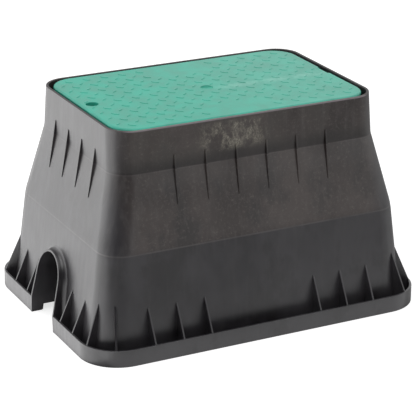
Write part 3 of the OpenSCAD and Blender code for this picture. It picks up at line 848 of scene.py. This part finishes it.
# %% Helpers for materials
class Finish:
    """A material whose nodes are added by short calls."""

    def __init__(self, name, colour, roughness, metallic=0.0, specular=0.5):
        self.material = bpy.data.materials.new(name)
        self.material.use_nodes = True
        self.nodes = self.material.node_tree.nodes
        self.links = self.material.node_tree.links
        self.shader = next(n for n in self.nodes if n.type == "BSDF_PRINCIPLED")
        self.shader.inputs["Base Color"].default_value = (*colour, 1)
        self.shader.inputs["Roughness"].default_value = roughness
        self.shader.inputs["Metallic"].default_value = metallic
        self.shader.inputs["Specular IOR Level"].default_value = specular
        self.coordinates = self.nodes.new("ShaderNodeTexCoord").outputs["Object"]

    def place(self, scale=(1, 1, 1), location=(0, 0, 0), rotation=(0, 0, 0)):
        node = self.nodes.new("ShaderNodeMapping")
        node.inputs["Scale"].default_value = scale
        node.inputs["Location"].default_value = location
        node.inputs["Rotation"].default_value = rotation
        self.links.new(self.coordinates, node.inputs["Vector"])
        return node.outputs["Vector"]

    def noise(self, scale, detail=3, roughness=0.5, place=None):
        node = self.nodes.new("ShaderNodeTexNoise")
        node.inputs["Scale"].default_value = scale
        node.inputs["Detail"].default_value = detail
        node.inputs["Roughness"].default_value = roughness
        self.links.new(place or self.coordinates, node.inputs["Vector"])
        return node.outputs["Fac"]

    def span(self, value, low, high, to_low=0.0, to_high=1.0):
        """Maps a value softly from one range to another. A range may run downwards."""
        node = self.nodes.new("ShaderNodeMapRange")
        node.interpolation_type = "SMOOTHSTEP"
        for name, number in (("From Min", low), ("From Max", high), ("To Min", to_low), ("To Max", to_high)):
            node.inputs[name].default_value = number
        self.links.new(value, node.inputs["Value"])
        return node.outputs["Result"]

    def math(self, operation, a, b=None):
        node = self.nodes.new("ShaderNodeMath")
        node.operation = operation
        for socket, value in zip(node.inputs, (a, b)):
            if isinstance(value, (int, float)):
                socket.default_value = value
            elif value is not None:
                self.links.new(value, socket)
        return node.outputs["Value"]

    def times(self, *values):
        result = values[0]
        for value in values[1:]:
            result = self.math("MULTIPLY", result, value)
        return result

    def between(self, value, start, low, high, end):
        """One inside low to high, falling softly to nothing at start and end."""
        return self.times(self.span(value, start, low), self.span(value, end, high))

    def mix(self, factor, a, b):
        node = self.nodes.new("ShaderNodeMix")
        node.data_type = "RGBA"
        self.links.new(factor, node.inputs["Factor"])
        for socket, value in ((node.inputs[6], a), (node.inputs[7], b)):
            if isinstance(value, tuple):
                socket.default_value = (*value, 1)
            else:
                self.links.new(value, socket)
        return node.outputs[2]

    def bump(self, height, distance, strength=1.0, after=None):
        node = self.nodes.new("ShaderNodeBump")
        node.inputs["Distance"].default_value = distance
        node.inputs["Strength"].default_value = strength
        self.links.new(height, node.inputs["Height"])
        if after:
            self.links.new(after, node.inputs["Normal"])
        return node.outputs["Normal"]

    def axes(self):
        node = self.nodes.new("ShaderNodeSeparateXYZ")
        self.links.new(self.coordinates, node.inputs["Vector"])
        return node.outputs

    def colour(self, value):
        self.links.new(value, self.shader.inputs["Base Color"])

    def rough(self, value):
        self.links.new(value, self.shader.inputs["Roughness"])

    def normal(self, value):
        self.links.new(value, self.shader.inputs["Normal"])

    def dress(self, *pieces):
        for ob in pieces:
            ob.data.materials.clear()
            ob.data.materials.append(self.material)


# %% [markdown]
# ## Dark moulded polyethylene
# The body is nearly black. What makes it look grey is its satin gloss, which mirrors a pale room. So
# the colour stays dark and varies only a little: soft patches where the plastic cooled unevenly, fine
# upright drag lines from the mould, a brownish film of fine dust above the knee, and greenish dust
# rubbed into the front of the collar. Light and shade are painted in too: a painted highlight along
# the crease, the knee and the rim, a brighter one on the rim's front edge, a painted shade band on
# the collar just above the crease, and painted light on the slope just below it.

# %% The body's finish
plastic = Finish("dark_polyethylene", (0.014, 0.013, 0.015), 0.36, specular=0.7)
x, y, z = plastic.axes()
patches = plastic.noise(8, 4, 0.6, plastic.place(scale=(1, 1, 0.7)))
blots = plastic.noise(22, 4, 0.6, plastic.place(scale=(1, 1, 0.6)))
drags = plastic.noise(9, 4, 0.65, plastic.place(scale=(16, 16, 0.9)))
speckle = plastic.noise(240, 5, 0.8)
grain = plastic.noise(900, 2, 0.6)
uneven = plastic.span(patches, 0.36, 0.64)
low_wall = plastic.mix(uneven, (0.009, 0.0078, 0.0105), (0.032, 0.0302, 0.034))
high_wall = plastic.mix(uneven, (0.019, 0.0125, 0.0115), (0.053, 0.042, 0.039))
above_knee = plastic.span(z, 0.139, 0.144)
away_from_ends = plastic.span(plastic.math("ABSOLUTE", x), 0.205, 0.165)
walls = plastic.mix(plastic.times(above_knee, away_from_ends), low_wall, high_wall)
walls = plastic.mix(plastic.span(z, 0.032, 0.012, 0, 0.45), walls, (0.05, 0.048, 0.052))
blotted = plastic.mix(plastic.times(plastic.span(blots, 0.48, 0.66), 0.65), walls, (0.007, 0.006, 0.007))
streaks = plastic.times(plastic.span(drags, 0.48, 0.7), plastic.span(z, 0.12, 0.16, 0.08, 0.28))
dragged = plastic.mix(streaks, blotted, (0.080, 0.073, 0.071))
dust = plastic.times(above_knee, away_from_ends, plastic.span(speckle, 0.5, 0.72))
dusty = plastic.mix(plastic.times(dust, 0.6), dragged, (0.12, 0.106, 0.096))
# Painted highlight: pale lines along the crease, the knee and the rim, where these bends catch the light.
crease_line = plastic.between(z, 0.2400, 0.2414, 0.2418, 0.2430)
knee_line = plastic.between(z, 0.1392, 0.1406, 0.1411, 0.1425)
rim_line = plastic.between(z, 0.2980, 0.2990, 0.2994, 0.2999)
painted_edge_highlight = plastic.times(plastic.math("MAXIMUM", plastic.math("MAXIMUM", crease_line, knee_line), rim_line),
                          plastic.span(blots, 0.3, 0.6, 0.3, 1))
# Painted shade: a dark band on the collar just above the crease, on the long sides.
shade = plastic.times(plastic.between(z, 0.2416, 0.2424, 0.249, 0.270), away_from_ends, 0.7)
shaded = plastic.mix(shade, dusty, (0.008, 0.006, 0.0055))
# Painted light: a lighter band on the slope just below the crease, where the wall turns up, broken up by the blots.
painted_slope_light = plastic.times(plastic.between(z, 0.195, 0.232, 0.2400, 0.2414), plastic.span(blots, 0.3, 0.6, 0.4, 1), 0.22)
slope_lit = plastic.mix(painted_slope_light, shaded, (0.10, 0.092, 0.090))
lined = plastic.mix(plastic.times(painted_edge_highlight, 0.3), slope_lit, (0.15, 0.135, 0.135))
# Painted highlight: a brighter line along the rim's outer edge, only on the front long side.
lined = plastic.mix(plastic.times(rim_line, plastic.span(y, -0.120, -0.127), 0.8), lined, (0.30, 0.26, 0.29))
collar = plastic.between(z, 0.252, 0.266, 0.288, 0.298)
middle = plastic.between(x, -0.085, -0.05, -0.01, 0.035)
front = plastic.span(y, -0.124, -0.128)
flecks = plastic.span(plastic.noise(430, 5, 0.85, plastic.place(scale=(1, 1, 0.8))), 0.44, 0.6)
clouds = plastic.span(plastic.noise(40, 5, 0.75, plastic.place(scale=(1.4, 1, 0.9))), 0.42, 0.6)
scuffs = plastic.times(collar, middle, front, plastic.span(flecks, 0, 1, 0.3, 1), clouds)
haze = plastic.times(plastic.span(z, 0.243, 0.262), front, plastic.span(x, 0.17, 0.02, 0.6, 1),
                     plastic.span(blots, 0.35, 0.6), 0.22)
hazed = plastic.mix(haze, lined, (0.13, 0.115, 0.10))
plastic.colour(plastic.mix(plastic.times(scuffs, 0.95), hazed, (0.30, 0.28, 0.225)))
rim_top = plastic.times(plastic.span(z, 0.2988, 0.2996), plastic.span(y, -0.127, -0.122), 0.35)
plastic.rough(plastic.math("ADD", plastic.math("ADD", plastic.span(drags, 0.3, 0.7, 0.32, 0.40), rim_top),
                           plastic.times(plastic.math("MAXIMUM", dust, scuffs), 0.15)))
plastic.normal(plastic.bump(blots, 0.0012, 0.15, plastic.bump(grain, 0.00006, 0.5)))
plastic.dress(body)
print("body finished")

# %% [markdown]
# ## Green polyethylene
# The lid is dyed through, so scratches don't change its colour. Its sheen comes and goes in faint
# patches, a pale flow line runs from the gate dimple to the notch, and a fine grain breaks up the
# mirror of the sky.

# %% The lid's finish
green = Finish("green_polyethylene", (0.015, 0.35, 0.25), 0.42)
mottle = green.noise(30, 4, 0.65)
cells = green.noise(160, 3, 0.6)
x, y, z = green.axes()
flow = green.times(green.between(y, -0.022, -0.012, -0.006, 0.004), green.span(x, 0.0, 0.03),
                   green.span(green.noise(60, 4, 0.7), 0.35, 0.65))
dyed = green.mix(green.span(mottle, 0.32, 0.68), (0.010, 0.285, 0.200), (0.022, 0.375, 0.270))
chalky = green.times(green.span(x, -0.12, 0.15, 0.1, 1), green.span(mottle, 0.35, 0.65, 0.5, 1))
chalked = green.mix(green.times(chalky, 0.14), dyed, (0.35, 0.5, 0.45))
green.colour(green.mix(green.times(flow, 0.4), chalked, (0.25, 0.5, 0.43)))
green.rough(green.span(mottle, 0.3, 0.7, 0.38, 0.5))
green.normal(green.bump(green.noise(700, 3, 0.6), 0.00008, 0.5, green.bump(cells, 0.0003, 0.25)))
green.dress(lid)
print("lid finished")

# %% [markdown]
# ## Steel and brass
# The bolt and its washer are satin stainless steel, the ring is darker spring steel, and the insert is
# turned brass. Each gets faint turning marks and a little unevenness, so that none of them looks new.

# %% The lock's finishes
def metal(name, colour, roughness):
    finish = Finish(name, colour, roughness, metallic=1.0)
    marks = finish.noise(40, 3, 0.6, finish.place(scale=(8, 8, 300)))
    cloudy = finish.noise(300, 3, 0.5)
    dull = tuple(c * 0.7 for c in colour)
    finish.colour(finish.mix(finish.span(cloudy, 0.35, 0.7), colour, dull))
    finish.rough(finish.span(cloudy, 0.3, 0.7, roughness - 0.06, roughness + 0.1))
    finish.normal(finish.bump(marks, 0.00004, 0.4))
    return finish


metal("satin_steel", (0.45, 0.44, 0.42), 0.36).dress(bolt, washer)
metal("spring_steel", (0.22, 0.22, 0.24), 0.38).dress(clip)
metal("turned_brass", (0.74, 0.53, 0.24), 0.3).dress(insert)
print("lock finished")

# %% [markdown]
# ## Studio
# The photo was taken on white. The floor and the world are white to the camera, and their mirror
# images are steered as a photographer would with flags and cards: the room is dark behind the camera,
# which is what turns the round front corner almost black, and a pool of light lies on the floor
# behind the box at the left, which together with a large soft lamp there turns the end wall pale.

# %% Floor and world
VIEW_AZ, VIEW_EL, VIEW_ROLL = math.radians(-26.95), math.radians(20.82), math.radians(0.23)


def seen(tree, *kinds):
    """One for rays of the named kinds, and nothing for the rest."""
    path = tree.nodes.new("ShaderNodeLightPath")
    result = path.outputs[kinds[0]]
    for kind in kinds[1:]:
        result = combine(tree, "MAXIMUM", result, path.outputs[kind])
    return result


def combine(tree, operation, a, b):
    node = tree.nodes.new("ShaderNodeMath")
    node.operation = operation
    for socket, value in zip(node.inputs, (a, b)):
        if isinstance(value, (int, float)):
            socket.default_value = value
        else:
            tree.links.new(value, socket)
    return node.outputs["Value"]


def fade(tree, coordinates, direction, start, end, to_start, to_end):
    """Goes softly from one strength to another along a direction in space."""
    dot = tree.nodes.new("ShaderNodeVectorMath")
    dot.operation = "DOT_PRODUCT"
    dot.inputs[1].default_value = direction
    tree.links.new(tree.nodes.new("ShaderNodeTexCoord").outputs[coordinates], dot.inputs[0])
    ramp = tree.nodes.new("ShaderNodeMapRange")
    ramp.interpolation_type = "SMOOTHSTEP"
    for name, number in (("From Min", start), ("From Max", end), ("To Min", to_start), ("To Max", to_end)):
        ramp.inputs[name].default_value = number
    tree.links.new(dot.outputs["Value"], ramp.inputs["Value"])
    return ramp.outputs["Result"]


def levels(tree, eye, mirror, diffuse):
    """A strength for the camera, one for mirror images and one for plain light."""
    to_eye = combine(tree, "MULTIPLY", seen(tree, "Is Camera Ray", "Is Transmission Ray"), eye - diffuse)
    mirrored = combine(tree, "MULTIPLY", seen(tree, "Is Glossy Ray"), combine(tree, "SUBTRACT", mirror, diffuse))
    return combine(tree, "ADD", combine(tree, "ADD", to_eye, mirrored), diffuse)


world = bpy.data.worlds.new("studio")
bpy.context.scene.world = world
world.use_nodes = True
tree = world.node_tree
background = next(n for n in tree.nodes if n.type == "BACKGROUND")
background.inputs["Color"].default_value = (1, 1, 1, 1)
to_camera = (math.sin(VIEW_AZ) * 0.97, -math.cos(VIEW_AZ) * 0.97, 0.2)
room = fade(tree, "Generated", to_camera, 0.55, 0.9, 1.1, 0.02)
tree.links.new(levels(tree, 1.0, room, 0.5), background.inputs["Strength"])

deselect()
bpy.ops.mesh.primitive_plane_add(size=30, location=(0, 0, -0.0002))
floor = bpy.context.object
floor.name = "floor"
floor_material = bpy.data.materials.new("studio_floor")
floor_material.use_nodes = True
tree = floor_material.node_tree
paint = next(n for n in tree.nodes if n.type == "BSDF_PRINCIPLED")
paint.inputs["Base Color"].default_value = (0.6, 0.6, 0.6, 1)
paint.inputs["Roughness"].default_value = 0.9
paint.inputs["Specular IOR Level"].default_value = 0
paint.inputs["Emission Color"].default_value = (1, 1, 1, 1)
beside = fade(tree, "Object", (-1, 0, 0), 0.246, 0.256, 0, 1.75)
left_pool = combine(tree, "MULTIPLY", beside, fade(tree, "Object", (0, 1, 0), -0.32, -0.15, 0, 1))
before = fade(tree, "Object", (0, -1, 0), 0.178, 0.186, 0, 1)
front_pool = combine(tree, "MULTIPLY", before, fade(tree, "Object", (0, -1, 0), 0.19, 0.40, 0.65, 0.02))
tree.links.new(levels(tree, 0.7, combine(tree, "ADD", left_pool, front_pool), 0.0), paint.inputs["Emission Strength"])
floor.data.materials.append(floor_material)
print("studio is white to the camera")

# %% [markdown]
# ## Lamps and camera
# Two large soft lamps at a plain level light the box: one behind it at the left, and one overhead.
# The camera stands where a fit to the photo's edges puts it, and looks down at about 21 degrees.

# %% Lamps and camera
def soft_lamp(name, place, aim, width, height, watts):
    light = bpy.data.lights.new(name, "AREA")
    light.shape = "RECTANGLE"
    light.size = width
    light.size_y = height
    light.energy = watts
    ob = bpy.data.objects.new(name, light)
    bpy.context.scene.collection.objects.link(ob)
    ob.location = place
    ob.rotation_euler = (Vector(aim) - Vector(place)).to_track_quat("-Z", "Y").to_euler()
    return ob


soft_lamp("left_lamp", (-1.7, 1.3, 0.8), (0, 0, 0.1), 2.2, 1.4, 16)
soft_lamp("overhead_lamp", (-0.2, -0.4, 2.2), (0, 0, 0.1), 2.0, 2.0, 26)

VIEW_DISTANCE = 2.7110
AIM = Vector((-0.00193, -0.00879, 0.1271))
FOCAL_PX, FRAME_PX, SENSOR_MM = 1949.2, 416, 36
back = Vector((math.sin(VIEW_AZ) * math.cos(VIEW_EL), -math.cos(VIEW_AZ) * math.cos(VIEW_EL), math.sin(VIEW_EL)))
camera_data = bpy.data.cameras.new("camera")
camera_data.sensor_width = SENSOR_MM
camera_data.lens = FOCAL_PX / FRAME_PX * SENSOR_MM
camera = bpy.data.objects.new("camera", camera_data)
bpy.context.scene.collection.objects.link(camera)
camera.location = AIM + back * VIEW_DISTANCE
facing = (-back).to_track_quat("-Z", "Y").to_matrix()
camera.rotation_euler = (facing @ Matrix.Rotation(VIEW_ROLL, 3, "Z")).to_euler()
bpy.context.scene.camera = camera
bpy.context.scene.view_settings.view_transform = "Standard"
print("camera at", [round(c, 3) for c in camera.location])
